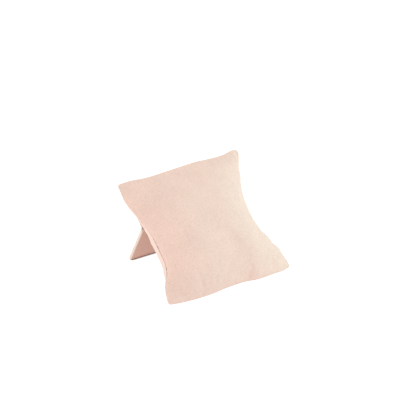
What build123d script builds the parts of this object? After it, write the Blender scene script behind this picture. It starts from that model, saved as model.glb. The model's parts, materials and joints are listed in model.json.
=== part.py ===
"""Small padded ring pillow that leans back on a fabric-wrapped easel leg.

Millimetres, +Z up. The pillow's bottom seam and the leg's foot stand on z = 0, +X runs to the right
along the bottom seam as seen from the front, and +Y points backwards, to the leg. The origin is on the
floor, in the middle of the footprint. Two flat frames hold all the sub-parts:

- the pillow's, on its seam: X along the bottom seam, Y up the pillow, Z out of its front;
- the leg's, on its rear face: X along the hinge line, Y down to the foot, Z out of its back.
"""

from build123d import *
from math import cos, radians, sin, tan
import os

# Pillow, measured on its seam.
PILLOW_WIDTH = 150.0
PILLOW_HEIGHT = 137.0
PILLOW_LEAN_DEG = 44.0  # the seam's plane, up from the floor
WAIST_PULL = 15.5  # how far each side is drawn in, half-way up
FRONT_CROWN = 20.5
FRONT_SHOULDER = 22.0  # how far in from the sides the crown starts to level off
BACK_CROWN = 34.0
BACK_SHOULDER = 4.0
BACK_FLAT = 16.7  # where the easel holds the back flat, behind the seam
FABRIC = 0.8
SEAM_ALLOWANCE = 1.6  # flat rim where the two panels are sewn to each other
EASE = 0.15  # room between the stuffing and the panels

# Thread.
THREAD_RADIUS = 0.22
STITCH_PITCH = 6.0
STITCH_LENGTH = 1.1
CLOSING_STITCHES = 10
CLOSING_PITCH = 4.8
CLOSING_START = 28.0  # up the left side, where the pillow was closed by hand after it was filled
CLOSING_OFFSET = 0.3  # thread centre to the seam's plane
TACK_STITCHES = 5

# Easel: a flange glued to the pillow's back, and the leg hinged below it.
EASEL_WIDTH = 117.0
BOARD = 3.0
COVER = 0.25
TURN_IN = 9.0
LINING_MARGIN = 1.0
FLANGE_HEIGHT = 12.0
LEG_LENGTH = 53.6  # hinge line to foot, on the rear face
LEG_LEAN_DEG = 29.0  # the leg, out of the vertical
HINGE_UP = 90.7  # up the pillow, from the bottom seam
HINGE_GAP = 0.5  # each board's end to the hinge line
GLUE = 0.4
HINGE_LEAF = 8.0

# Stay ribbon between the pillow's back and the leg.
RIBBON_WIDTH = 10.0
RIBBON = 0.35
RIBBON_UP = 50.0  # on the pillow's back, from the bottom seam
RIBBON_DOWN = 32.0  # on the leg's front face, from the hinge line
RIBBON_END = 7.0  # length of ribbon laid flat on each surface

FOOTPRINT_DEPTH = 105.5
EASEL_THICKNESS = BOARD + 2 * COVER
HINGE_BACK = BACK_FLAT + GLUE + EASEL_THICKNESS
EVERYTHING = 400.0  # side of a block larger than the whole part

LEAN = radians(PILLOW_LEAN_DEG)
LEG_LEAN = radians(LEG_LEAN_DEG)

pillow_frame = Plane(
    origin=(0, -FOOTPRINT_DEPTH / 2, 0),
    x_dir=(1, 0, 0),
    z_dir=(0, -sin(LEAN), cos(LEAN)),
)
hinge_point = pillow_frame.from_local_coords(Vector(0, HINGE_UP, -HINGE_BACK))
leg_frame = Plane(
    origin=hinge_point,
    x_dir=(1, 0, 0),
    z_dir=(0, cos(LEG_LEAN), sin(LEG_LEAN)),
)


def on_pillow(shape):
    """Moves a shape from the pillow's frame to the part's."""
    return shape.moved(pillow_frame.location)


def on_leg(shape):
    """Moves a shape from the leg's frame to the part's."""
    return shape.moved(leg_frame.location)


def block(x, y, z):
    """A box between two limits along each axis."""
    size = Box(x[1] - x[0], y[1] - y[0], z[1] - z[0])
    return size.moved(Location(((x[0] + x[1]) / 2, (y[0] + y[1]) / 2, (z[0] + z[1]) / 2)))


def above_floor(shape, height=0.0):
    """What is left of a shape, in the part's frame, above a height."""
    half = EVERYTHING / 2
    return shape & block((-half, half), (-half, half), (height, EVERYTHING))


# The panels are Bezier surfaces of five by five control points: the outer ones lie on the seam's
# plane and shape the outline, and the inner ones are raised to make the crown.
MIDDLE_WEIGHT = 0.875  # what a raised row adds at the middle of a five-point Bezier curve
EAR_ROW = 27.0  # control row next to the top and bottom edges


def side_pulls():
    """How far in each control row's end is, for the waist to be drawn in by WAIST_PULL."""
    pull = WAIST_PULL / MIDDLE_WEIGHT
    return [0.0, pull, pull, pull, 0.0]


def crowned_face(inset, crown, shoulder):
    """One crowned panel surface in the pillow's frame.

    inset is how far its outline lies inside the seam, crown its height at the middle, negative for
    the back, and shoulder how far in from the sides the crown starts to level off.
    """
    rows = [inset, EAR_ROW, PILLOW_HEIGHT / 2, PILLOW_HEIGHT - EAR_ROW, PILLOW_HEIGHT - inset]
    raised = crown / MIDDLE_WEIGHT**2
    grid = []
    for i, (up, pull) in enumerate(zip(rows, side_pulls())):
        half = PILLOW_WIDTH / 2 - inset - pull
        across = [-half, -half + shoulder, 0.0, half - shoulder, half]
        is_edge_row = i in (0, len(rows) - 1)
        heights = [0.0 if is_edge_row or j in (0, 4) else raised for j in range(5)]
        grid.append([(x, up, height) for x, height in zip(across, heights)])
    return Face.make_bezier_surface(grid)


def half_pillow(inset, crown, shoulder):
    """The space between the seam's plane and one crowned surface."""
    dome = crowned_face(inset, crown, shoulder)
    base = Face(Wire(dome.edges()))
    return Solid(Shell([dome, base]))


def flattened(back, depth):
    """A back half, pressed flat where the easel is glued to it."""
    half = EVERYTHING / 2
    return back & block((-half, half), (-half, half), (-depth, 1.0))


def make_front_panel():
    outer = half_pillow(0.0, FRONT_CROWN, FRONT_SHOULDER)
    inner = half_pillow(SEAM_ALLOWANCE, FRONT_CROWN - FABRIC, FRONT_SHOULDER)
    return on_pillow(outer - inner)


def make_back_panel():
    outer = flattened(half_pillow(0.0, -BACK_CROWN, BACK_SHOULDER), BACK_FLAT)
    inner = flattened(
        half_pillow(SEAM_ALLOWANCE, FABRIC - BACK_CROWN, BACK_SHOULDER), BACK_FLAT - FABRIC
    )
    return above_floor(on_pillow(outer)) - above_floor(on_pillow(inner), FABRIC)


def make_filling():
    inset = SEAM_ALLOWANCE + EASE
    skin = FABRIC + EASE
    front = half_pillow(inset, FRONT_CROWN - skin, FRONT_SHOULDER)
    back = flattened(half_pillow(inset, skin - BACK_CROWN, BACK_SHOULDER), BACK_FLAT - skin)
    return above_floor(on_pillow(front + back), skin)


def seam_lines():
    """The four edges of the line that the stitches follow, inside the seam."""
    return crowned_face(SEAM_ALLOWANCE / 2, FRONT_CROWN, FRONT_SHOULDER).edges()


def in_closing_gap(point):
    """Whether a point is on the stretch of the left seam that is closed by hand."""
    end = CLOSING_START + CLOSING_STITCHES * CLOSING_PITCH
    return point.X < 0 and CLOSING_START < point.Y < end


def make_seam_stitches():
    """Stitches through both seam allowances, all round except at the closing gap."""
    stitches = []
    for line in seam_lines():
        count = round(line.length / STITCH_PITCH)
        for i in range(count):
            point = line @ ((i + 0.5) / count)
            if not in_closing_gap(point):
                stitch = Cylinder(THREAD_RADIUS, STITCH_LENGTH)
                stitches.append(on_pillow(stitch.moved(Location(point))))
    return Compound(children=stitches)


def make_closing_stitches():
    """Hand ladder stitches up the left seam, in the front and the back fold in turn."""
    line = min(seam_lines(), key=lambda edge: (edge @ 0.5).X)
    rises = (line @ 1).Y > (line @ 0).Y
    stitches = []
    for i in range(CLOSING_STITCHES):
        share = (CLOSING_START + (i + 0.5) * CLOSING_PITCH) / line.length
        place = share if rises else 1 - share
        side = 1 if i % 2 else -1
        start = line @ place + Vector(0, 0, side * CLOSING_OFFSET)
        stitch = Cylinder(THREAD_RADIUS, CLOSING_PITCH - 1.0)
        stitches.append(on_pillow(stitch.moved(Plane(origin=start, z_dir=line % place).location)))
    return Compound(children=stitches)


EASEL_X = (-EASEL_WIDTH / 2, EASEL_WIDTH / 2)
FLANGE_Y = (HINGE_UP + HINGE_GAP, HINGE_UP + HINGE_GAP + FLANGE_HEIGHT)
LEG_Y = (HINGE_GAP, LEG_LENGTH)


def shrunk(limits, amount):
    """Limits drawn in at both ends."""
    return (limits[0] + amount, limits[1] - amount)


def wrapped_cover(x, y, rear, front):
    """Cloth round a board: over the rear and the four edges, and turned in on the front."""
    around = block(x, y, (min(rear, front), max(rear, front)))
    inward = 1 if front > rear else -1
    board_z = sorted((rear + inward * COVER, front - inward * COVER))
    opening_z = sorted((front - inward * COVER, front))
    board = block(shrunk(x, COVER), shrunk(y, COVER), board_z)
    turn_in = min(TURN_IN, (y[1] - y[0]) / 2 - 1.0)
    opening = block(shrunk(x, TURN_IN), shrunk(y, turn_in), opening_z)
    return around - board - opening


def make_flange_board():
    z = (-HINGE_BACK + COVER, -HINGE_BACK + COVER + BOARD)
    return on_pillow(block(shrunk(EASEL_X, COVER), shrunk(FLANGE_Y, COVER), z))


def make_flange_cover():
    rear = -HINGE_BACK
    return on_pillow(wrapped_cover(EASEL_X, FLANGE_Y, rear, rear + EASEL_THICKNESS))


def make_flange_glue():
    z = (-BACK_FLAT - GLUE, -BACK_FLAT)
    glue_x = (-EASEL_WIDTH / 2 + 14.0, EASEL_WIDTH / 2 - 14.0)
    return on_pillow(block(glue_x, shrunk(FLANGE_Y, 2.0), z))


def make_leg_board():
    z = (-COVER - BOARD, -COVER)
    return on_leg(block(shrunk(EASEL_X, COVER), shrunk(LEG_Y, COVER), z))


def make_leg_cover():
    return above_floor(on_leg(wrapped_cover(EASEL_X, LEG_Y, 0.0, -EASEL_THICKNESS)))


def make_leg_lining():
    """The lining sheet on the leg's front face, over the turned-in edges of its cover."""
    sheet = block(
        shrunk(EASEL_X, LINING_MARGIN),
        shrunk(LEG_Y, LINING_MARGIN),
        (-EASEL_THICKNESS - COVER, -EASEL_THICKNESS),
    )
    middle = block(
        shrunk(EASEL_X, TURN_IN), shrunk(LEG_Y, TURN_IN), (-EASEL_THICKNESS, COVER - EASEL_THICKNESS)
    )
    return on_leg(sheet + middle)


def make_hinge_cloth():
    """A strip over the rear faces of the flange and the leg, folded on the hinge line."""
    up = (cos(LEAN), sin(LEAN))
    down = (sin(LEG_LEAN), -cos(LEG_LEAN))
    flange_out = (sin(LEAN), -cos(LEAN))
    leg_out = (cos(LEG_LEAN), sin(LEG_LEAN))

    def at(along, distance, out, height):
        y = hinge_point.Y + along[0] * distance + out[0] * height
        z = hinge_point.Z + along[1] * distance + out[1] * height
        return (0, y, z)

    # Half the angle between the two rear faces gives the outer corner of the fold.
    fold = (radians(90) - LEG_LEAN + LEAN) / 2
    corner = COVER / tan(fold)
    outline = Polyline(
        at(up, HINGE_LEAF, flange_out, 0),
        at(up, 0, flange_out, 0),
        at(down, HINGE_LEAF, leg_out, 0),
        at(down, HINGE_LEAF, leg_out, COVER),
        at(down, corner, leg_out, COVER),
        at(up, HINGE_LEAF, flange_out, COVER),
        close=True,
    )
    half = EASEL_WIDTH / 2 - 1.0
    face = Face(Wire(outline.edges())).moved(Location((-half, 0, 0)))
    return Solid.extrude(face, Vector(2 * half, 0, 0))


def ribbon_ends():
    """Where the taut ribbon leaves the pillow's back and where it meets the leg's lining."""
    on_back = pillow_frame.from_local_coords(Vector(0, RIBBON_UP, -BACK_FLAT))
    on_lining = leg_frame.from_local_coords(Vector(0, RIBBON_DOWN, -EASEL_THICKNESS - COVER))
    return on_back, on_lining


def make_stay_ribbon():
    """A flat ribbon from the pillow's back to the leg, with an end laid on each."""
    start, end = ribbon_ends()
    up = Vector(0, cos(LEAN), sin(LEAN))
    down = Vector(0, sin(LEG_LEAN), -cos(LEG_LEAN))
    off_back = Vector(0, sin(LEAN), -cos(LEAN))
    off_leg = Vector(0, -cos(LEG_LEAN), -sin(LEG_LEAN))
    taut = (end - start).normalized()
    over = Vector(0, -taut.Z, taut.Y)
    clear_back = start + off_back * (RIBBON / 2)
    clear_leg = end + off_leg * (RIBBON / 2)
    runs = [
        (clear_back - up * RIBBON_END, clear_back, off_back),
        (clear_back, clear_leg, over),
        (clear_leg, clear_leg + down * RIBBON_END, off_leg),
    ]
    ribbon = None
    for first, last, out in runs:
        thick = out * (RIBBON / 2)
        corners = [first - thick, last - thick, last + thick, first + thick]
        shifted = [corner - Vector(RIBBON_WIDTH / 2, 0, 0) for corner in corners]
        face = Face(Wire.make_polygon(shifted, close=True))
        run = Solid.extrude(face, Vector(RIBBON_WIDTH, 0, 0))
        ribbon = run if ribbon is None else ribbon + run
    return ribbon


def make_ribbon_tack():
    """Bar tack that sews the ribbon's upper end to the back panel."""
    stitches = []
    for i in range(TACK_STITCHES):
        x = (i - (TACK_STITCHES - 1) / 2) * RIBBON_WIDTH / (TACK_STITCHES + 1)
        stitch = block(
            (x - THREAD_RADIUS, x + THREAD_RADIUS),
            (RIBBON_UP - RIBBON_END + 1.0, RIBBON_UP - 2.0),
            (-BACK_FLAT - RIBBON - 2 * THREAD_RADIUS, -BACK_FLAT - RIBBON),
        )
        stitches.append(on_pillow(stitch))
    return Compound(children=stitches)


SUB_PARTS = {
    "front_panel": make_front_panel,
    "back_panel": make_back_panel,
    "fibre_filling": make_filling,
    "seam_stitches": make_seam_stitches,
    "closing_stitches": make_closing_stitches,
    "flange_board": make_flange_board,
    "flange_cover": make_flange_cover,
    "flange_glue": make_flange_glue,
    "leg_board": make_leg_board,
    "leg_cover": make_leg_cover,
    "leg_lining": make_leg_lining,
    "hinge_cloth": make_hinge_cloth,
    "stay_ribbon": make_stay_ribbon,
    "ribbon_tack": make_ribbon_tack,
}


def main():
    os.makedirs("parts", exist_ok=True)
    boxes = []
    for name, make in SUB_PARTS.items():
        shape = make()
        export_step(shape, f"parts/{name}.step")
        boxes.append(shape.bounding_box())
    low = [min(tuple(box.min)[i] for box in boxes) for i in range(3)]
    high = [max(tuple(box.max)[i] for box in boxes) for i in range(3)]
    print("low ", [round(value, 2) for value in low])
    print("high", [round(value, 2) for value in high])
    print("hinge", hinge_point)


main()
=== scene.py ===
"""Looks of the ring pillow: cloth, thread, boards, ribbon, floor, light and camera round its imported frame.

Metres, in the part's own frame: +X along the bottom seam, +Y backwards to the leg, +Z up. Soft pieces
are shaped in two flat frames. On the pillow a place is (x, up, out): across, up the slope of the seam's
plane, and out of its front. On the leg it is (x, down, back): across, down from the hinge line to the
foot, and out of its rear face.
"""

import json
import math

import bpy
import numpy as np
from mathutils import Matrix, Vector, noise


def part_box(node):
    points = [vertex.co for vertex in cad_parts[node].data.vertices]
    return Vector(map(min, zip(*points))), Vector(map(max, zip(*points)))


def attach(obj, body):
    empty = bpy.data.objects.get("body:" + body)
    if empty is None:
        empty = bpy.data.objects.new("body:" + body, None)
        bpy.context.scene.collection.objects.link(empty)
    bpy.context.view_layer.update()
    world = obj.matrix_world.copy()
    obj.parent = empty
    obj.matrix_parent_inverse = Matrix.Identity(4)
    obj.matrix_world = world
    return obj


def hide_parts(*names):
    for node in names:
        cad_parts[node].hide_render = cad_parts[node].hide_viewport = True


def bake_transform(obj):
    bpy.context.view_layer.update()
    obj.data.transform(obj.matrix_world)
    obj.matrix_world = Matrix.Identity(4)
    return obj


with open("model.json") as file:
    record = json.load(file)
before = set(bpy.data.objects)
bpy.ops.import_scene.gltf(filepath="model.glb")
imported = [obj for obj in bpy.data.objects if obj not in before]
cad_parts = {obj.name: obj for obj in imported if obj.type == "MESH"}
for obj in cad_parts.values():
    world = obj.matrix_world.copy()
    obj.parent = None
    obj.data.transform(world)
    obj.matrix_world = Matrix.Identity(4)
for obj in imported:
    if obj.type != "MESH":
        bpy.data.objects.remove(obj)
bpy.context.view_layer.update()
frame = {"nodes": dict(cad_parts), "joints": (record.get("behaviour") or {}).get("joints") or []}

MM = 0.001

# ---------------------------------------------------------------- places, from the frame

front_low, front_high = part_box("front_panel")
WIDTH = front_high.x - front_low.x
HEIGHT = math.hypot(front_high.y - front_low.y, front_high.z - front_low.z)
LEAN = math.atan2(front_high.z - front_low.z, front_high.y - front_low.y)
HINGE = np.array(frame["joints"][0]["pos_m"])

ACROSS = np.array([1.0, 0.0, 0.0])
UP = np.array([0.0, math.cos(LEAN), math.sin(LEAN)])
OUT = np.array([0.0, -math.sin(LEAN), math.cos(LEAN)])
SEAM_FOOT = np.array([0.0, front_low.y, 0.0])
HINGE_UP = float((HINGE - SEAM_FOOT) @ UP)
HINGE_BACK = -float((HINGE - SEAM_FOOT) @ OUT)

LEG_LEAN = math.radians(29.0)
DOWN = np.array([0.0, math.sin(LEG_LEAN), -math.cos(LEG_LEAN)])
BACK = np.array([0.0, math.cos(LEG_LEAN), math.sin(LEG_LEAN)])

cover_low, cover_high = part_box("leg_cover")
EASEL_WIDTH = cover_high.x - cover_low.x
EASEL_THICKNESS = 3.5 * MM
BACK_FLAT = HINGE_BACK - EASEL_THICKNESS - 0.4 * MM
FLANGE_HEIGHT = 12.0 * MM
HINGE_GAP = 0.5 * MM
LEG_LENGTH = 53.6 * MM


def on_pillow(x, up, out):
    """Places given on the pillow, in the row frame."""
    x, up, out = np.broadcast_arrays(x, up, out)
    return SEAM_FOOT + x[..., None] * ACROSS + up[..., None] * UP + out[..., None] * OUT


def on_leg(x, down, back):
    """Places given on the leg, in the row frame."""
    x, down, back = np.broadcast_arrays(x, down, back)
    return HINGE + x[..., None] * ACROSS + down[..., None] * DOWN + back[..., None] * BACK


# ---------------------------------------------------------------- small tools


def smooth_step(low, high, value):
    """0 below low, 1 above high, and smooth between them."""
    t = np.clip((value - low) / (high - low), 0.0, 1.0)
    return t * t * (3.0 - 2.0 * t)


def through(knots, t):
    """A smooth curve through (place, value) knots."""
    x, y = np.array(knots, float).T
    slope = np.gradient(y, x)
    i = np.clip(np.searchsorted(x, t) - 1, 0, len(x) - 2)
    h = x[i + 1] - x[i]
    r = (t - x[i]) / h
    return (
        y[i] * (1 + 2 * r) * (1 - r) ** 2
        + slope[i] * h * r * (1 - r) ** 2
        + y[i + 1] * r**2 * (3 - 2 * r)
        + slope[i + 1] * h * r**2 * (r - 1)
    )


def spread(count, gathered=0.5):
    """count + 1 values from 0 to 1, gathered towards both ends."""
    even = np.linspace(0.0, 1.0, count + 1)
    return (1 - gathered) * even + gathered * (0.5 - 0.5 * np.cos(np.pi * even))


def noise_at(points, size, seed):
    """Smooth noise from -1 to 1 at each point, with features of about the given size."""
    shift = Vector((seed * 3.7, seed * 1.3, seed * 5.1))
    flat = points.reshape(-1, 3)
    values = [noise.noise(Vector(p) / size + shift) for p in flat]
    return np.array(values).reshape(points.shape[:-1])


def mesh_object(name, points, faces, material):
    """A smooth-shaded mesh object, linked to the scene, with its material."""
    mesh = bpy.data.meshes.new(name)
    mesh.from_pydata([tuple(p) for p in points], [], faces)
    mesh.update()
    mesh.polygons.foreach_set("use_smooth", [True] * len(mesh.polygons))
    obj = bpy.data.objects.new(name, mesh)
    bpy.context.scene.collection.objects.link(obj)
    obj.data.materials.append(material)
    return obj


def grid_faces(rows, columns, flip=False, start=0):
    """The quads of a grid whose points are stored row by row."""
    faces = []
    for j in range(rows - 1):
        for i in range(columns - 1):
            a = start + j * columns + i
            quad = (a, a + 1, a + 1 + columns, a + columns)
            faces.append(quad[::-1] if flip else quad)
    return faces


def apply_modifiers(obj):
    """Turns what the modifiers make into the object's own mesh."""
    graph = bpy.context.evaluated_depsgraph_get()
    graph.update()
    made = bpy.data.meshes.new_from_object(obj.evaluated_get(graph))
    obj.modifiers.clear()
    old = obj.data
    obj.data = made
    bpy.data.meshes.remove(old)
    made.polygons.foreach_set("use_smooth", [True] * len(made.polygons))


# ---------------------------------------------------------------- materials


class Nodes:
    """Builds one node material."""

    def __init__(self, name, roughness):
        self.material = bpy.data.materials.new(name)
        self.material.use_nodes = True
        self.tree = self.material.node_tree
        self.shader = self.tree.nodes["Principled BSDF"]
        self.shader.inputs["Roughness"].default_value = roughness
        self.place = self.add("ShaderNodeTexCoord").outputs["Object"]

    def add(self, kind, **settings):
        node = self.tree.nodes.new(kind)
        for key, value in settings.items():
            setattr(node, key, value)
        return node

    def link(self, source, target):
        self.tree.links.new(source, target)

    def noise(self, size, detail=2.0, stretch=(1.0, 1.0, 1.0)):
        """Noise from 0 to 1 with features of about size metres, before the stretch."""
        mapping = self.add("ShaderNodeMapping")
        mapping.inputs["Scale"].default_value = stretch
        self.link(self.place, mapping.inputs["Vector"])
        node = self.add("ShaderNodeTexNoise")
        node.inputs["Scale"].default_value = 1.0 / size
        node.inputs["Detail"].default_value = detail
        self.link(mapping.outputs["Vector"], node.inputs["Vector"])
        return node.outputs["Fac"]

    def ramp(self, value, stops):
        """A colour ramp from (place, colour) stops."""
        node = self.add("ShaderNodeValToRGB")
        elements = node.color_ramp.elements
        while len(elements) < len(stops):
            elements.new(0.5)
        for element, (place, colour) in zip(elements, stops):
            element.position = place
            element.color = (*colour, 1.0)
        self.link(value, node.inputs["Fac"])
        return node.outputs["Color"]

    def mix(self, share, a, b):
        """Colour a with a share of colour b."""
        node = self.add("ShaderNodeMix", data_type="RGBA")
        for socket, value in ((node.inputs["Factor"], share), (node.inputs["A"], a), (node.inputs["B"], b)):
            if isinstance(value, bpy.types.NodeSocket):
                self.link(value, socket)
            elif isinstance(value, tuple):
                socket.default_value = (*value, 1.0)
            else:
                socket.default_value = value
        return node.outputs["Result"]

    def maths(self, operation, a, b):
        node = self.add("ShaderNodeMath", operation=operation)
        for socket, value in zip(node.inputs, (a, b)):
            if isinstance(value, bpy.types.NodeSocket):
                self.link(value, socket)
            else:
                socket.default_value = value
        return node.outputs["Value"]

    def colour(self, value):
        self.link(value, self.shader.inputs["Base Color"])

    def bump(self, height, distance, strength=1.0):
        node = self.add("ShaderNodeBump")
        node.inputs["Strength"].default_value = strength
        node.inputs["Distance"].default_value = distance
        self.link(height, node.inputs["Height"])
        self.link(node.outputs["Normal"], self.shader.inputs["Normal"])

    def sheen(self, weight, roughness, tint):
        self.shader.inputs["Sheen Weight"].default_value = weight
        self.shader.inputs["Sheen Roughness"].default_value = roughness
        self.shader.inputs["Sheen Tint"].default_value = (*tint, 1.0)


def scaled(colour, factor):
    return tuple(channel * factor for channel in colour)


BLUSH = (0.735, 0.535, 0.458)


def suede(name, colour=BLUSH, nap=1.0):
    """Brushed microsuede: fine grain, flecks where the nap stands up, and faint hand marks."""
    n = Nodes(name, 0.88)
    marks = n.ramp(n.noise(24 * MM, 3.0), [(0.3, scaled(colour, 0.965)), (0.7, scaled(colour, 1.03))])
    fleck = n.noise(1.8 * MM, 3.0)
    light = n.ramp(fleck, [(0.54, (0.0, 0.0, 0.0)), (0.68, (1.0, 1.0, 1.0))])
    dark = n.ramp(fleck, [(0.32, (1.0, 1.0, 1.0)), (0.46, (0.0, 0.0, 0.0))])
    lighter = n.mix(n.maths("MULTIPLY", light, 0.42 * nap), marks, scaled(colour, 1.14))
    darker = n.mix(n.maths("MULTIPLY", dark, 0.42 * nap), lighter, scaled(colour, 0.84))
    grain = n.noise(0.35 * MM, 3.0)
    fine = n.ramp(grain, [(0.3, (0.93, 0.93, 0.93)), (0.7, (1.05, 1.05, 1.05))])
    shade = n.add("ShaderNodeMix", data_type="RGBA", blend_type="MULTIPLY")
    shade.inputs["Factor"].default_value = 1.0
    n.link(darker, shade.inputs["A"])
    n.link(fine, shade.inputs["B"])
    n.colour(shade.outputs["Result"])
    height = n.maths("ADD", grain, n.maths("MULTIPLY", fleck, 1.5))
    n.bump(height, 0.10 * MM, 0.55 * nap)
    n.sheen(0.25, 0.45, (1.0, 0.93, 0.88))
    n.shader.inputs["Specular IOR Level"].default_value = 0.25
    return n.material


def thread_material():
    n = Nodes("thread", 0.7)
    n.colour(n.ramp(n.noise(0.6 * MM), [(0.3, scaled(BLUSH, 0.72)), (0.7, scaled(BLUSH, 0.92))]))
    n.bump(n.noise(0.25 * MM, 1.0), 0.05 * MM)
    n.sheen(0.2, 0.4, (1.0, 0.95, 0.9))
    return n.material


def greyboard_material():
    n = Nodes("greyboard", 0.9)
    n.colour(n.ramp(n.noise(0.9 * MM, 4.0), [(0.3, (0.30, 0.285, 0.26)), (0.7, (0.38, 0.365, 0.335))]))
    n.bump(n.noise(0.5 * MM, 3.0), 0.04 * MM)
    return n.material


def glue_material():
    n = Nodes("hot_melt", 0.35)
    n.colour(n.ramp(n.noise(4 * MM), [(0.3, (0.78, 0.74, 0.62)), (0.7, (0.86, 0.82, 0.70))]))
    n.bump(n.noise(3 * MM, 1.0), 0.2 * MM)
    return n.material


def fibre_material():
    n = Nodes("polyester_fibre", 0.95)
    n.colour(n.ramp(n.noise(3 * MM, 4.0), [(0.3, (0.80, 0.80, 0.79)), (0.7, (0.92, 0.92, 0.91))]))
    n.bump(n.noise(1.5 * MM, 4.0), 1.0 * MM)
    n.sheen(0.4, 0.5, (1.0, 1.0, 1.0))
    return n.material


def ribbon_material():
    """Grosgrain: fine ribs across the ribbon."""
    n = Nodes("grosgrain", 0.6)
    wave = n.add("ShaderNodeTexWave", wave_type="BANDS", bands_direction="Y")
    wave.inputs["Scale"].default_value = 1 / (2 * math.pi) / (0.12 * MM)
    wave.inputs["Distortion"].default_value = 0.3
    n.link(n.place, wave.inputs["Vector"])
    ribs = wave.outputs["Fac"]
    n.colour(n.ramp(ribs, [(0.2, scaled(BLUSH, 0.80)), (0.8, scaled(BLUSH, 1.02))]))
    n.bump(ribs, 0.08 * MM)
    n.sheen(0.15, 0.3, (1.0, 0.95, 0.92))
    return n.material


SUEDE = suede("blush_suede")
# Painted light: the back panel's suede is a paler copy of the blush, so the strip of the back seen from the
# left looks lit.
SUEDE_BACK_PAINTED_LIGHT = suede("blush_suede_back_painted_light", (0.75, 0.57, 0.497))
# Painted light: a paler, less red copy of the suede for the easel's cover, flange and hinge strip, for the
# board edges lit from the left.
SUEDE_COVER_PAINTED_LIGHT = suede("pale_cover_painted_light", (0.70, 0.565, 0.478), 0.7)
# Painted shade: the lining's darker, redder rose stands in for the shade on the leg's front face, which
# faces the pillow's back and the floor.
SUEDE_LINING_PAINTED_SHADE = suede("rose_lining_painted_shade", (0.537, 0.327, 0.263), 0.7)
# Painted shade: the dark brown turned-in cloth stands for the shadow in the seam's groove.
GROOVE_PAINTED_SHADE = suede("painted_groove_shade", (0.26, 0.14, 0.105), 0.5)
THREAD = thread_material()
GREYBOARD = greyboard_material()
HOT_MELT = glue_material()
FIBRE = fibre_material()
GROSGRAIN = ribbon_material()

# ---------------------------------------------------------------- the pillow's seam line

# How far the seam lies inside the CAD outline's corners along each edge, in millimetres: up the left
# and right sides, and across the bottom and top from left to right.
LEFT_IN = ((0, 0), (0.05, 1.0), (0.10, 3.0), (0.16, 6.2), (0.22, 11.4), (0.30, 14.6), (0.42, 14.5),
           (0.52, 13.7), (0.64, 9.8), (0.72, 6.8), (0.78, 3.8), (0.86, 0.8), (0.93, 0.1), (1, 0))
RIGHT_IN = ((0, -0.6), (0.05, 0.4), (0.107, 2.0), (0.16, 2.8), (0.21, 7.0), (0.27, 9.8), (0.34, 14.0),
            (0.42, 16.8), (0.54, 17.6), (0.66, 16.2), (0.74, 13.2), (0.80, 9.8), (0.87, 7.4), (0.93, 3.4),
            (1, -0.4))
TOP_OUT = ((0, 0), (0.10, 0.6), (0.22, -0.8), (0.40, -0.3), (0.55, 0.5), (0.63, 0.9), (0.75, -0.1),
           (0.84, -0.4), (0.90, 0.4), (0.95, 2.0), (1, 0.6))
BOTTOM_FORWARD = ((0, 0.8), (0.07, 3.0), (0.20, 5.2), (0.33, 5.0), (0.46, 2.8), (0.59, 2.2), (0.72, 5.2),
                  (0.85, 4.6), (0.93, 4.4), (1, 1.5))
TIP_LIFT = 0.8 * MM
TIP_ROUNDING = (2.0 * MM, 1.8 * MM, 4.5 * MM, 1.8 * MM)  # bottom left and right, top right and left

COLUMNS = 96
ROWS = 88


def seam_edges():
    """The four edges of the seam as places on the pillow: left, right, bottom and top."""
    v = spread(ROWS)
    u = spread(COLUMNS)
    lift_v = TIP_LIFT * (1 - smooth_step(0.0, 0.25, v))
    tip_up, tip_out = math.sin(LEAN) * lift_v, math.cos(LEAN) * lift_v
    left = np.stack([-WIDTH / 2 + through(LEFT_IN, v) * MM, v * HEIGHT + tip_up, tip_out], -1)
    right = np.stack([WIDTH / 2 - through(RIGHT_IN, v) * MM, v * HEIGHT + tip_up, tip_out], -1)
    x = (u - 0.5) * WIDTH
    ends = np.minimum(u, 1 - u)
    lift = TIP_LIFT * (1 - smooth_step(0.0, 0.12, ends))
    forward = through(BOTTOM_FORWARD, u) * MM
    bottom_up = lift * math.sin(LEAN) - forward * math.cos(LEAN)
    bottom_out = lift * math.cos(LEAN) + forward * math.sin(LEAN)
    bottom = np.stack([x, bottom_up, bottom_out], -1)
    top = np.stack([x, HEIGHT + through(TOP_OUT, u) * MM, 0 * x], -1)
    return left, right, bottom, top


def rounded_tips(left, right, bottom, top):
    """The same edges with their four shared tips rounded off."""
    loop = np.concatenate([bottom, right[1:], top[-2::-1], left[-2:0:-1]])
    tips = np.stack([bottom[0], bottom[-1], top[-1], top[0]])
    near = (np.linalg.norm(loop[:, None] - tips[None], axis=-1) / np.array(TIP_ROUNDING)).min(1)
    share = 1 - smooth_step(0.2, 1.0, near)
    for _ in range(14):
        middle = (np.roll(loop, 1, 0) + np.roll(loop, -1, 0)) / 2
        loop += share[:, None] * (middle - loop) * 0.6
    c, r = len(bottom) - 1, len(right) - 1
    bottom, right = loop[: c + 1], loop[c : c + r + 1]
    top = loop[c + r : 2 * c + r + 1][::-1]
    left = np.concatenate([loop[2 * c + r :], loop[:1]])[::-1]
    return left, right, bottom, top


def seam_surface():
    """A surface stretched across the seam, as places on the pillow: rows up, columns across."""
    left, right, bottom, top = rounded_tips(*seam_edges())
    u = spread(COLUMNS)[None, :, None]
    v = spread(ROWS)[:, None, None]
    sides = (1 - u) * left[:, None] + u * right[:, None]
    ends = (1 - v) * bottom[None] + v * top[None]
    corners = (
        (1 - u) * (1 - v) * bottom[0]
        + u * (1 - v) * bottom[-1]
        + (1 - u) * v * top[0]
        + u * v * top[-1]
    )
    return sides + ends - corners


# ---------------------------------------------------------------- the pillow's crowns

FRONT_CROWN = 19.5 * MM
PUCKER = 0.6 * MM
PUCKER_LENGTH = 9.0 * MM
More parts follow.
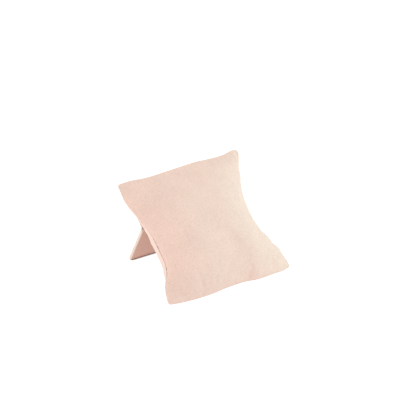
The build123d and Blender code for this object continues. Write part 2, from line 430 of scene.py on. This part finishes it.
# Dents in the front by the bottom seam, in millimetres: x, up, half width, half length and depth.
DENTS = (
    (25.7, 8.5, 1.7, 2.2, 1.6),
    (22.8, 4.5, 3.0, 3.2, 1.5),
    (19.5, 1.0, 5.0, 4.5, 1.6),
    (-19.0, 7.0, 1.8, 5.0, 0.8),
    (-36.0, 9.0, 2.0, 5.0, 0.7),
    (4.0, 5.0, 1.8, 4.0, 0.5),
    (52.0, 7.0, 2.2, 5.0, 0.6),
)


def roll(gap, reach, fullness=0.5):
    """A rounded rise from 0 at a seam to 1 at a distance of reach from it."""
    t = np.clip(gap / reach, 0.0, 1.0)
    return (1 - (1 - t) ** 2) ** fullness


def puckers(base, gap, seed):
    """Small folds that run in from the seam and fade out."""
    flat = base.copy()
    flat[..., 2] = seed * 50 * MM
    wave = noise_at(flat, PUCKER_LENGTH, seed)
    rise = smooth_step(0.0, 3 * MM, gap) * np.exp(-gap / (9 * MM))
    return PUCKER * wave * rise


def crowns():
    """The seam surface, how far the front and the back stand off it, and the way to the nearest seam."""
    base = seam_surface()
    x, up = base[..., 0], base[..., 1]
    gap_left = x - x[:, :1]
    gap_right = x[:, -1:] - x
    gap_bottom = up - up[:1]
    gap_top = up[-1:] - up
    gap = np.minimum(np.minimum(gap_left, gap_right), np.minimum(gap_bottom, gap_top))
    v = spread(ROWS)[:, None]
    waist = smooth_step(0.10, 0.26, v) * (1 - smooth_step(0.50, 0.80, v))
    front_reach = (54 - 12 * waist) * MM
    front = (
        FRONT_CROWN
        * roll(gap_left, front_reach, 0.70)
        * roll(gap_right, front_reach, 0.74)
        * roll(gap_bottom, 52 * MM, 0.66)
        * roll(gap_top, 60 * MM, 0.76)
    )
    back_reach = (42 - 35.4 * waist) * MM
    back = (
        BACK_FLAT
        * roll(gap_left, back_reach)
        * roll(gap_right, back_reach)
        * roll(gap_bottom, 20 * MM)
        * roll(gap_top, 40 * MM, 0.75)
    )
    front += puckers(base, gap, 1)
    for place_x, place_up, half_width, half_length, depth in DENTS:
        across, along = (x / MM - place_x) / half_width, (up / MM - place_up) / half_length
        front -= depth * MM * np.exp(-(across**2) - along**2) * smooth_step(0.0, 1.5 * MM, gap)
    back = np.maximum(back + puckers(base, gap, 2), 0.0)
    return base, np.maximum(front, 0.0), back, gap


FLOOR_CLEAR = 0.15 * MM


def panel_points(base, stand_off, side):
    """A panel's points in the row frame, pressed flat where they would go into the floor."""
    points = on_pillow(base[..., 0], base[..., 1], base[..., 2] + side * stand_off)
    points[..., 2] = np.maximum(points[..., 2], FLOOR_CLEAR)
    return points


# ---------------------------------------------------------------- cloth simulation

SIM_FRAMES = 20
SIM_SHARE = 0.35  # how much of the cloth's movement is kept
SIM_CAP = 2.0 * MM
FOLDED_ROOM = 0.018  # how much more depth there is per length down from the hinge under the folded leg


def closed_shell(front, back):
    """Points and faces of the closed pillow: the front grid, then the back's inner points."""
    rows, columns = front.shape[:2]
    index = np.arange(rows * columns).reshape(rows, columns)
    back_index = index.copy()
    inner = np.arange((rows - 2) * (columns - 2)).reshape(rows - 2, columns - 2)
    back_index[1:-1, 1:-1] = rows * columns + inner
    points = np.concatenate([front.reshape(-1, 3), back[1:-1, 1:-1].reshape(-1, 3)])
    faces = grid_faces(rows, columns)
    for j in range(rows - 1):
        for i in range(columns - 1):
            quad = (back_index[j, i], back_index[j + 1, i], back_index[j + 1, i + 1], back_index[j, i + 1])
            faces.append(tuple(int(k) for k in quad))
    return points, faces, back_index


def simulated(front, back, held):
    """Both panels after the cloth has been blown up a little, with the seam and the held points fixed."""
    points, faces, back_index = closed_shell(front, back)
    mesh = bpy.data.meshes.new("simulated")
    mesh.from_pydata([tuple(p) for p in points], [], faces)
    obj = bpy.data.objects.new("simulated", mesh)
    scene = bpy.context.scene
    scene.collection.objects.link(obj)
    rows, columns = front.shape[:2]
    pin = np.zeros(len(points))
    edge = np.ones((rows, columns), bool)
    edge[1:-1, 1:-1] = False
    pin[: rows * columns][edge.ravel()] = 1.0
    pin[back_index[held]] = 1.0
    group = obj.vertex_groups.new(name="held")
    for k in np.nonzero(pin)[0]:
        group.add([int(k)], 1.0, "REPLACE")
    cloth = obj.modifiers.new("Cloth", "CLOTH")
    settings = cloth.settings
    settings.quality = 6
    settings.mass = 0.02
    settings.tension_stiffness = 8.0
    settings.compression_stiffness = 8.0
    settings.shear_stiffness = 3.0
    settings.bending_stiffness = 0.05
    settings.shrink_min = -0.03
    settings.use_pressure = True
    settings.uniform_pressure_force = 4.0
    settings.vertex_group_mass = "held"
    settings.effector_weights.gravity = 0.0
    cloth.point_cache.frame_end = SIM_FRAMES
    for k in range(1, SIM_FRAMES + 1):
        scene.frame_set(k)
    graph = bpy.context.evaluated_depsgraph_get()
    made = obj.evaluated_get(graph).to_mesh()
    moved = np.zeros(len(points) * 3)
    made.vertices.foreach_get("co", moved)
    moved = moved.reshape(-1, 3)
    scene.frame_set(1)
    bpy.data.objects.remove(obj)
    bpy.data.meshes.remove(mesh)
    step = SIM_SHARE * (moved - points)
    length = np.linalg.norm(step, axis=1, keepdims=True)
    capped = step * np.minimum(1.0, SIM_CAP / np.maximum(length, 1e-9))
    settled = points + capped
    settled[:, 2] = np.maximum(settled[:, 2], FLOOR_CLEAR)
    return settled[: rows * columns].reshape(front.shape), settled[back_index]


# ---------------------------------------------------------------- panels with their seam folds

LIP = 0.35 * MM  # radius of the fold where a panel turns in at the seam
OPEN_LIP = 1.1 * MM  # the same where the pillow was closed by hand
LOOSE_LIP = 1.1 * MM  # and how much more between loose stitches
CLOSING_UP = (28 * MM, 76 * MM)
LOOSE_UP = (30 * MM, 36.5 * MM, 61 * MM)
PANEL_THICKNESS = 0.6 * MM
TURNED_IN = ((20, 0), (38, 0), (58, 1), (80, 1))  # angles round the fold, and whether the ring takes the painted groove shade (1) or the panel's own suede (0)
ALLOWANCE = 1.5 * MM
TIP_PLAIN = 9 * MM  # the turned-in cloth keeps the panel's own material, without painted groove shade, this near a tip


def border(grid):
    """The grid's border points as a loop: bottom, right, top, left."""
    return np.concatenate([grid[0], grid[1:, -1], grid[-1, -2::-1], grid[-2:0:-1, 0]])


def border_indices(rows, columns):
    index = np.arange(rows * columns).reshape(rows, columns)
    return border(index)


def fold_radius(points):
    """The radius of the turned-in fold near each place."""
    near = points - SEAM_FOOT
    up = near @ UP
    start, end = CLOSING_UP
    closing = smooth_step(start - 6 * MM, start, up) * (1 - smooth_step(end - 6 * MM, end, up))
    loose = sum(np.exp(-(((up - place) / (1.3 * MM)) ** 2)) for place in LOOSE_UP)
    wide = (OPEN_LIP - LIP) * closing + LOOSE_LIP * loose
    return LIP + wide * (1 - smooth_step(-45 * MM, -30 * MM, near[..., 0]))


def seam_outward(loop):
    """Away from the pillow in the seam's plane, at each place of the seam's loop."""
    along = np.roll(loop, -1, 0) - np.roll(loop, 1, 0)
    for _ in range(4):
        along = (np.roll(along, -1, 0) + 2 * along + np.roll(along, 1, 0)) / 4
    outward = np.cross(along, OUT)
    return outward / np.linalg.norm(outward, axis=1, keepdims=True)


def panel(name, points, gap, side, node):
    """One panel: its cloth, folded in along the seam, with the cloth's thickness and painted shade on the
    inner rings of the fold.
    """
    rows, columns = points.shape[:2]
    radius = fold_radius(points)
    raise_by = radius * np.exp(-((gap / (5 * MM)) ** 2))
    raised = points + side * raise_by[..., None] * OUT
    loop = border(points)
    outward = seam_outward(loop)
    lip = border(radius)[:, None]
    tips = loop[[0, columns - 1, columns + rows - 2, 2 * columns + rows - 3]]
    from_tip = np.linalg.norm(loop[:, None] - tips[None], axis=-1).min(1)
    room = smooth_step(0.0, 9 * MM, from_tip)[:, None]
    rings = []
    for angle, _ in TURNED_IN:
        turn = math.radians(angle)
        inward, height = room * lip * (1 - math.cos(turn)), lip * (1 - math.sin(turn))
        rings.append(loop - inward * outward + side * height * OUT)
    rings.append(rings[-1] - room * ALLOWANCE * outward)
    every = np.concatenate([raised.reshape(-1, 3), *rings])
    faces = grid_faces(rows, columns, flip=side < 0)
    shades = [0] * len(faces)
    previous = border_indices(rows, columns)
    count = len(previous)
    for k in range(len(rings)):
        ring = rows * columns + k * count + np.arange(count)
        for i in range(count):
            j = (i + 1) % count
            quad = (int(previous[j]), int(previous[i]), int(ring[i]), int(ring[j]))
            faces.append(quad if side > 0 else quad[::-1])
            shade = TURNED_IN[min(k, len(TURNED_IN) - 1)][1]
            shades.append(shade if from_tip[i] > TIP_PLAIN else 0)
        previous = ring
    every[:, 2] = np.maximum(every[:, 2], FLOOR_CLEAR)
    # The back panel takes the paler suede with painted light.
    obj = mesh_object(name, every, faces, SUEDE if side > 0 else SUEDE_BACK_PAINTED_LIGHT)
    # The fold's inner rings, away from the tips, take the painted groove shade.
    obj.data.materials.append(GROOVE_PAINTED_SHADE)
    obj.data.polygons.foreach_set("material_index", shades)
    solid = obj.modifiers.new("thickness", "SOLIDIFY")
    solid.thickness = PANEL_THICKNESS
    solid.offset = -1.0
    smooth = obj.modifiers.new("smooth", "SUBSURF")
    smooth.levels = smooth.render_levels = 1
    apply_modifiers(obj)
    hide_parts(node)
    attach(obj, "pillow")
    return obj


def make_filling(base, front_height, back_height):
    """The stuffing: the pillow's form, drawn in under its panels."""
    middle = np.array([0.0, HEIGHT / 2, 0.0])
    inner = middle + (base - middle) * 0.95
    room = 2.2 * MM
    front = panel_points(inner, np.maximum(front_height - room, 0.1 * MM), 1)
    back = panel_points(inner, np.maximum(back_height - room, 0.1 * MM), -1)
    points, faces, _ = closed_shell(front, back)
    points[:, 2] = np.maximum(points[:, 2], 1.6 * MM)
    obj = mesh_object("stuffing", points, faces, FIBRE)
    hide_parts("fibre_filling")
    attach(obj, "pillow")


def under_leg(back):
    """The back panel's points, no further back than the folded leg leaves room for."""
    up = (back - SEAM_FOOT) @ UP
    depth = -((back - SEAM_FOOT) @ OUT)
    room = BACK_FLAT - 0.1 * MM + FOLDED_ROOM * np.maximum(HINGE_UP - up, 0.0)
    room += 2 * MM * smooth_step(HINGE_UP - 3 * MM, HINGE_UP + 2 * MM, up)
    soft = 0.35 * MM
    pressed = room - soft * np.logaddexp(0.0, (room - depth) / soft)
    return back + (depth - pressed)[..., None] * OUT


def make_pillow():
    base, front_height, back_height, gap = crowns()
    front = panel_points(base, front_height, 1)
    back = panel_points(base, back_height, -1)
    up = base[..., 1]
    held = (back_height > 0.9 * BACK_FLAT) & (np.abs(up - HINGE_UP - FLANGE_HEIGHT / 2) < FLANGE_HEIGHT)
    held[[0, -1]] = False
    held[:, [0, -1]] = False
    front, back = simulated(front, back, held)
    back[1:-1, 1:-1] = under_leg(back)[1:-1, 1:-1]
    back[..., 2] = np.maximum(back[..., 2], FLOOR_CLEAR)
    panel("front_panel_cloth", front, gap, 1, "front_panel")
    panel("back_panel_cloth", back, gap, -1, "back_panel")
    make_filling(base, front_height, back_height)
    return front, back


front_points, back_points = make_pillow()

# ---------------------------------------------------------------- easel


def slab_lines(low, high, radius, count):
    """Places of a slab's grid lines along one axis: close together on the rounded edges."""
    edge = radius * np.array([0.0, 0.3, 0.65])
    inner = np.linspace(low + radius, high - radius, count)
    return np.concatenate([low + edge, inner, (high - edge)[::-1]])


def rounded_slab(x, y, z, radius, counts):
    """Points and faces of a box with rounded edges, between two limits along each axis."""
    lines = [slab_lines(*limits, radius, count) for limits, count in zip((x, y, z), counts)]
    made = {}
    points = []
    faces = []

    def index(key):
        if key not in made:
            made[key] = len(points)
            points.append([lines[axis][key[axis]] for axis in range(3)])
        return made[key]

    sizes = [len(line) for line in lines]
    for axis in range(3):
        a, b = (axis + 1) % 3, (axis + 2) % 3
        for end in (0, sizes[axis] - 1):
            for i in range(sizes[a] - 1):
                for j in range(sizes[b] - 1):
                    corners = []
                    for di, dj in ((0, 0), (1, 0), (1, 1), (0, 1)):
                        key = [0, 0, 0]
                        key[axis], key[a], key[b] = end, i + di, j + dj
                        corners.append(index(tuple(key)))
                    faces.append(corners if end else corners[::-1])
    points = np.array(points)
    low = np.array([x[0], y[0], z[0]]) + radius
    high = np.array([x[1], y[1], z[1]]) - radius
    core = np.clip(points, low, high)
    off = points - core
    length = np.linalg.norm(off, axis=1, keepdims=True)
    return core + off / np.maximum(length, 1e-12) * radius, faces


HALF_EASEL = EASEL_WIDTH / 2
COVER_RADIUS = 1.0 * MM
# The painted-shade lining comes this near the leg's edges, so it darkens nearly all of the leg's front face.
LINING_MARGIN = 1.0 * MM
LINING = 0.3 * MM
HINGE_LEAF = 8.0 * MM
HINGE_CLOTH = 0.25 * MM
RIBBON = 0.35 * MM
RIBBON_WIDTH = 10.0 * MM
RIBBON_UP = 50.0 * MM
RIBBON_DOWN = 32.0 * MM
RIBBON_END = 7.0 * MM


def placed_slab(name, place, x, y, z, radius, counts, material):
    """A rounded slab on the pillow or the leg, as an object."""
    points, faces = rounded_slab(x, y, z, radius, counts)
    if place is on_leg:
        # The leg's frame is left-handed as (x, down, back), so its faces turn over.
        faces = [face[::-1] for face in faces] if np.cross(ACROSS, DOWN) @ BACK < 0 else faces
    moved = place(points[:, 0], points[:, 1], points[:, 2])
    moved[:, 2] = np.maximum(moved[:, 2], 0.0)
    return mesh_object(name, moved, faces, material)


def make_boards():
    leg = placed_slab(
        "leg_cover_cloth", on_leg, (-HALF_EASEL, HALF_EASEL), (HINGE_GAP, LEG_LENGTH),
        (-EASEL_THICKNESS, 0.0), COVER_RADIUS, (40, 20, 3), SUEDE_COVER_PAINTED_LIGHT,
    )
    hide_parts("leg_cover")
    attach(leg, "leg")
    flange_up = (HINGE_UP + HINGE_GAP, HINGE_UP + HINGE_GAP + FLANGE_HEIGHT)
    flange = placed_slab(
        "flange_cover_cloth", on_pillow, (-HALF_EASEL, HALF_EASEL), flange_up,
        (-HINGE_BACK, -HINGE_BACK + EASEL_THICKNESS), COVER_RADIUS, (40, 6, 3), SUEDE_COVER_PAINTED_LIGHT,
    )
    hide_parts("flange_cover")
    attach(flange, "pillow")
    margin = LINING_MARGIN
    lining = placed_slab(
        "leg_lining_cloth", on_leg, (margin - HALF_EASEL, HALF_EASEL - margin),
        (HINGE_GAP + margin, LEG_LENGTH - margin), (-EASEL_THICKNESS - LINING, -EASEL_THICKNESS),
        0.1 * MM, (40, 20, 1), SUEDE_LINING_PAINTED_SHADE,
    )
    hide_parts("leg_lining")
    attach(lining, "leg")


def rounded_path(corners, radius, steps=8):
    """A polyline with each inner corner rounded off."""
    path = [corners[0]]
    for before, corner, after in zip(corners, corners[1:], corners[2:]):
        first = corner + radius * (before - corner) / np.linalg.norm(before - corner)
        last = corner + radius * (after - corner) / np.linalg.norm(after - corner)
        for t in np.linspace(0, 1, steps):
            path.append((1 - t) ** 2 * first + 2 * t * (1 - t) * corner + t**2 * last)
    path.append(corners[-1])
    return path


def filled_in(path, pitch):
    """The same line with points no further apart than pitch."""
    made = [path[0]]
    for a, b in zip(path, path[1:]):
        count = max(1, math.ceil(np.linalg.norm(b - a) / pitch))
        made += [a + (b - a) * k / count for k in range(1, count + 1)]
    return np.array(made)


def band(name, path, half_width, columns, thickness, material):
    """A strip of cloth that follows a path, as wide as twice half_width along X."""
    across = np.linspace(-half_width, half_width, columns)
    points = path[:, None, :] + across[None, :, None] * ACROSS
    faces = grid_faces(len(path), columns)
    obj = mesh_object(name, points.reshape(-1, 3), faces, material)
    solid = obj.modifiers.new("thickness", "SOLIDIFY")
    solid.thickness = thickness
    solid.offset = 0.0
    solid.use_rim = True
    apply_modifiers(obj)
    return obj


def make_hinge():
    """The strip of cloth over the rear faces of the flange and the leg."""
    off = HINGE_CLOTH / 2 + 0.05 * MM
    pillow_rear, leg_rear = -OUT, BACK
    bisector = (pillow_rear + leg_rear) / (1 + pillow_rear @ leg_rear)
    corners = [
        HINGE + UP * HINGE_LEAF + pillow_rear * off,
        HINGE + bisector * off,
        HINGE + DOWN * HINGE_LEAF + leg_rear * off,
    ]
    path = filled_in(rounded_path(corners, 1.2 * MM), 0.5 * MM)
    half_width = HALF_EASEL - 1.0 * MM
    obj = band("hinge_strip", path, half_width, 50, HINGE_CLOTH, SUEDE_COVER_PAINTED_LIGHT)
    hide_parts("hinge_cloth")
    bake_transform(obj)


def back_depth(up):
    """How far behind the seam's plane the back panel is, on the middle line."""
    column = back_points[:, back_points.shape[1] // 2] - SEAM_FOOT
    return float(np.interp(up, column @ UP, -(column @ OUT)))


def make_ribbon():
    """The stay ribbon, taut from the pillow's back to the leg, and its tack."""
    depth = back_depth(RIBBON_UP) + 0.6 * RIBBON
    low_depth = back_depth(RIBBON_UP - RIBBON_END) + 0.6 * RIBBON
    zero = np.float64(0.0)
    on_lining = -EASEL_THICKNESS - LINING - 0.6 * RIBBON
    corners = [
        on_pillow(zero, RIBBON_UP - RIBBON_END, -low_depth),
        on_pillow(zero, RIBBON_UP, -depth),
        on_leg(zero, RIBBON_DOWN, on_lining),
        on_leg(zero, RIBBON_DOWN + RIBBON_END, on_lining),
    ]
    path = filled_in(rounded_path(corners, 1.5 * MM), 0.8 * MM)
    obj = band("ribbon", path, RIBBON_WIDTH / 2, 13, RIBBON, GROSGRAIN)
    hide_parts("stay_ribbon")
    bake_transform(obj)
    lines = []
    for k in range(5):
        x = np.float64((k - 2) * RIBBON_WIDTH / 6)
        ends = [
            on_pillow(x, RIBBON_UP - RIBBON_END + 1.0 * MM, -low_depth - 0.6 * RIBBON),
            on_pillow(x, RIBBON_UP - 2.0 * MM, -depth - 0.6 * RIBBON),
        ]
        lines.append(np.linspace(*ends, 5))
    tack = tubes("tack_thread", lines, 0.22 * MM, THREAD)
    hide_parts("ribbon_tack")
    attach(tack, "pillow")


def tubes(name, lines, radius, material, sides=6):
    """Short round threads, one along each line of points."""
    points, faces = [], []
    for line in lines:
        along = np.gradient(line, axis=0)
        along /= np.linalg.norm(along, axis=1, keepdims=True)
        across = np.cross(along, OUT + 0.3 * ACROSS)
        across /= np.linalg.norm(across, axis=1, keepdims=True)
        over = np.cross(along, across)
        start = len(points)
        for k in range(len(line)):
            for turn in np.arange(sides) * 2 * math.pi / sides:
                points.append(line[k] + radius * (math.cos(turn) * across[k] + math.sin(turn) * over[k]))
        for k in range(len(line) - 1):
            for i in range(sides):
                j = (i + 1) % sides
                a = start + k * sides
                faces.append((a + i, a + j, a + sides + j, a + sides + i))
        faces.append(tuple(start + i for i in reversed(range(sides))))
        faces.append(tuple(start + (len(line) - 1) * sides + i for i in range(sides)))
    return mesh_object(name, points, faces, material)


STITCH_PITCH = 3.0 * MM
CLOSING_PITCH = 4.8 * MM


def make_threads():
    """Stitches in the groove of the seam, and the hand stitches of the stretch closed last."""
    loop = border(front_points)
    outward = seam_outward(loop)
    lip = fold_radius(loop)[:, None]
    line = loop - 0.8 * lip * outward
    closed = np.concatenate([line, line[:1]])
    reach = np.concatenate([[0.0], np.linalg.norm(np.diff(closed, axis=0), axis=1).cumsum()])
    count = int(reach[-1] / STITCH_PITCH)
    start, end = CLOSING_UP
    lines = []
    for k in range(count):
        places = (k + np.linspace(0.12, 0.88, 5)) * reach[-1] / count
        dash = np.stack([np.interp(places, reach, closed[:, axis]) for axis in range(3)], -1)
        up = (dash[2] - SEAM_FOOT) @ UP
        if dash[2, 0] > 0 or not start < up < end:
            lines.append(dash)
    seam = tubes("seam_thread", lines, 0.2 * MM, THREAD)
    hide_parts("seam_stitches")
    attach(seam, "pillow")
    left = (loop - 0.45 * lip * outward)[-ROWS:][::-1]
    left_up = (left - SEAM_FOOT) @ UP
    lines = []
    for k in range(int((end - start) / CLOSING_PITCH)):
        up = start + (k + 0.5) * CLOSING_PITCH + np.linspace(-1.3, 1.3, 5) * MM
        dash = np.stack([np.interp(up, left_up, left[:, axis]) for axis in range(3)], -1)
        dash += np.linspace(-0.45, 0.45, 5)[:, None] * MM * OUT * (1 if k % 2 else -1)
        lines.append(dash)
    closing = tubes("closing_thread", lines, 0.22 * MM, THREAD)
    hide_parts("closing_stitches")
    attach(closing, "pillow")


make_boards()
make_hinge()
make_ribbon()
make_threads()

for node, material in (("leg_board", GREYBOARD), ("flange_board", GREYBOARD), ("flange_glue", HOT_MELT)):
    cad = frame["nodes"][node]
    cad.data.materials.clear()
    cad.data.materials.append(material)

# ---------------------------------------------------------------- floor, light and camera

FLOOR_HALF = 2.5
FLOOR_GLOW = 0.92
CONTACT_REACH = 3.5 * MM  # how near the floor a thing must be for the painted contact shadow under it
FRONT_GLOW_LEAST = 0.62  # what is left of the glow in the painted contact shadow under the pillow; under the leg it is 0
CONTACT_OPEN = (0.22, 0.78)  # open share of the sky at which the glow starts and is whole
CONTACT_CHANGE = 20 * MM  # the two kinds of contact meet this far to both sides of the middle
HORIZON = 1.04
ZENITH = 0.80
SKY_HEIGHTS = (0.2, 0.6)


def make_floor():
    """A white lit table top. It glows, but not where something stands close over it: there the glow dims and
    the colour turns reddish brown, a painted contact shadow.
    """
    n = Nodes("floor", 0.9)
    plain = n.ramp(n.noise(60 * MM), [(0.3, (0.32, 0.32, 0.318)), (0.7, (0.33, 0.33, 0.328))])
    n.shader.inputs["Specular IOR Level"].default_value = 0.05
    n.shader.inputs["Emission Color"].default_value = (1.0, 1.0, 1.0, 1.0)
    open_sky = n.add("ShaderNodeAmbientOcclusion", samples=16)
    open_sky.inputs["Distance"].default_value = CONTACT_REACH
    glow = n.add("ShaderNodeMapRange", interpolation_type="SMOOTHSTEP")
    n.link(open_sky.outputs["AO"], glow.inputs["Value"])
    # Painted shade: where something stands close, the floor's colour turns reddish brown, standing in for
    # the suede's bounced light in the contact shadow.
    close = n.ramp(open_sky.outputs["AO"], [(0.3, (0.36, 0.15, 0.12)), (0.8, (0.33, 0.33, 0.328))])
    n.colour(n.mix(open_sky.outputs["AO"], close, plain))
    glow.inputs["From Min"].default_value = CONTACT_OPEN[0]
    glow.inputs["From Max"].default_value = CONTACT_OPEN[1]
    glow.inputs["To Max"].default_value = FLOOR_GLOW
    parts = n.add("ShaderNodeSeparateXYZ")
    n.link(n.place, parts.inputs["Vector"])
    least = n.add("ShaderNodeMapRange")
    least.inputs["From Min"].default_value = -CONTACT_CHANGE
    least.inputs["From Max"].default_value = CONTACT_CHANGE
    least.inputs["To Min"].default_value = FRONT_GLOW_LEAST
    least.inputs["To Max"].default_value = 0.0
    n.link(parts.outputs["Y"], least.inputs["Value"])
    n.link(least.outputs["Result"], glow.inputs["To Min"])
    n.link(glow.outputs["Result"], n.shader.inputs["Emission Strength"])
    half = FLOOR_HALF
    corners = [(-half, -half, 0), (half, -half, 0), (half, half, 0), (-half, half, 0)]
    mesh = bpy.data.meshes.new("floor")
    mesh.from_pydata(corners, [], [(0, 1, 2, 3)])
    floor = bpy.data.objects.new("floor", mesh)
    bpy.context.scene.collection.objects.link(floor)
    mesh.materials.append(n.material)


def area_light(name, place, aim, size, power, colour):
    light = bpy.data.lights.new(name, "AREA")
    light.shape = "DISK"
    light.size = size
    light.energy = power
    light.color = colour
    obj = bpy.data.objects.new(name, light)
    obj.location = place
    obj.rotation_euler = (Vector(aim) - Vector(place)).to_track_quat("-Z", "Y").to_euler()
    bpy.context.scene.collection.objects.link(obj)


def make_world():
    """White at the horizon, and a little less bright overhead."""
    world = bpy.data.worlds.new("studio")
    bpy.context.scene.world = world
    world.use_nodes = True
    tree = world.node_tree
    background = tree.nodes["Background"]
    background.inputs["Color"].default_value = (1.0, 0.99, 0.98, 1.0)
    place = tree.nodes.new("ShaderNodeTexCoord")
    parts = tree.nodes.new("ShaderNodeSeparateXYZ")
    strength = tree.nodes.new("ShaderNodeMapRange")
    strength.inputs["From Min"].default_value = SKY_HEIGHTS[0]
    strength.inputs["From Max"].default_value = SKY_HEIGHTS[1]
    strength.inputs["To Min"].default_value = HORIZON
    strength.inputs["To Max"].default_value = ZENITH
    tree.links.new(place.outputs["Generated"], parts.inputs["Vector"])
    tree.links.new(parts.outputs["Z"], strength.inputs["Value"])
    tree.links.new(strength.outputs["Result"], background.inputs["Strength"])


def make_light():
    aim = (0.0, 0.0, 0.04)
    area_light("top", (0.3, -0.2, 1.9), aim, 1.6, 10.4, (1.0, 0.97, 0.95))
    area_light("right", (0.30, -0.20, 0.22), aim, 0.15, 0.42, (0.35, 1.0, 1.0))
    area_light("left", (-1.65, 0.6, 0.35), aim, 0.6, 6.5, (1.0, 0.99, 0.97))


CAMERA_AZIMUTH = math.radians(-32.9)
CAMERA_ELEVATION = math.radians(27.4)
CAMERA_DISTANCE = 2.4
PIXELS_PER_METRE = 958.0
FRAME_SIDE = 400
SENSOR = 36.0
TARGET = Vector((0.0, front_low.y + 0.050, 0.045))
TARGET_LEFT = -3.7  # where the target lies from the middle of the frame, in units of its side / 400
TARGET_DOWN = 27.9


def make_camera():
    camera = bpy.data.cameras.new("camera")
    camera.sensor_width = SENSOR
    camera.lens = PIXELS_PER_METRE * CAMERA_DISTANCE * SENSOR / FRAME_SIDE
    camera.clip_start, camera.clip_end = 0.1, 20.0
    back = Vector((
        math.sin(CAMERA_AZIMUTH) * math.cos(CAMERA_ELEVATION),
        -math.cos(CAMERA_AZIMUTH) * math.cos(CAMERA_ELEVATION),
        math.sin(CAMERA_ELEVATION),
    ))
    turn = back.to_track_quat("Z", "Y")
    right, up = turn @ Vector((1, 0, 0)), turn @ Vector((0, 1, 0))
    aim = TARGET + right * (TARGET_LEFT / PIXELS_PER_METRE) + up * (TARGET_DOWN / PIXELS_PER_METRE)
    obj = bpy.data.objects.new("camera", camera)
    obj.rotation_mode = "QUATERNION"
    obj.location = aim + back * CAMERA_DISTANCE
    obj.rotation_quaternion = turn
    bpy.context.scene.collection.objects.link(obj)
    bpy.context.scene.camera = obj


make_floor()
make_world()
make_light()
make_camera()
bpy.context.scene.view_settings.view_transform = "Standard"
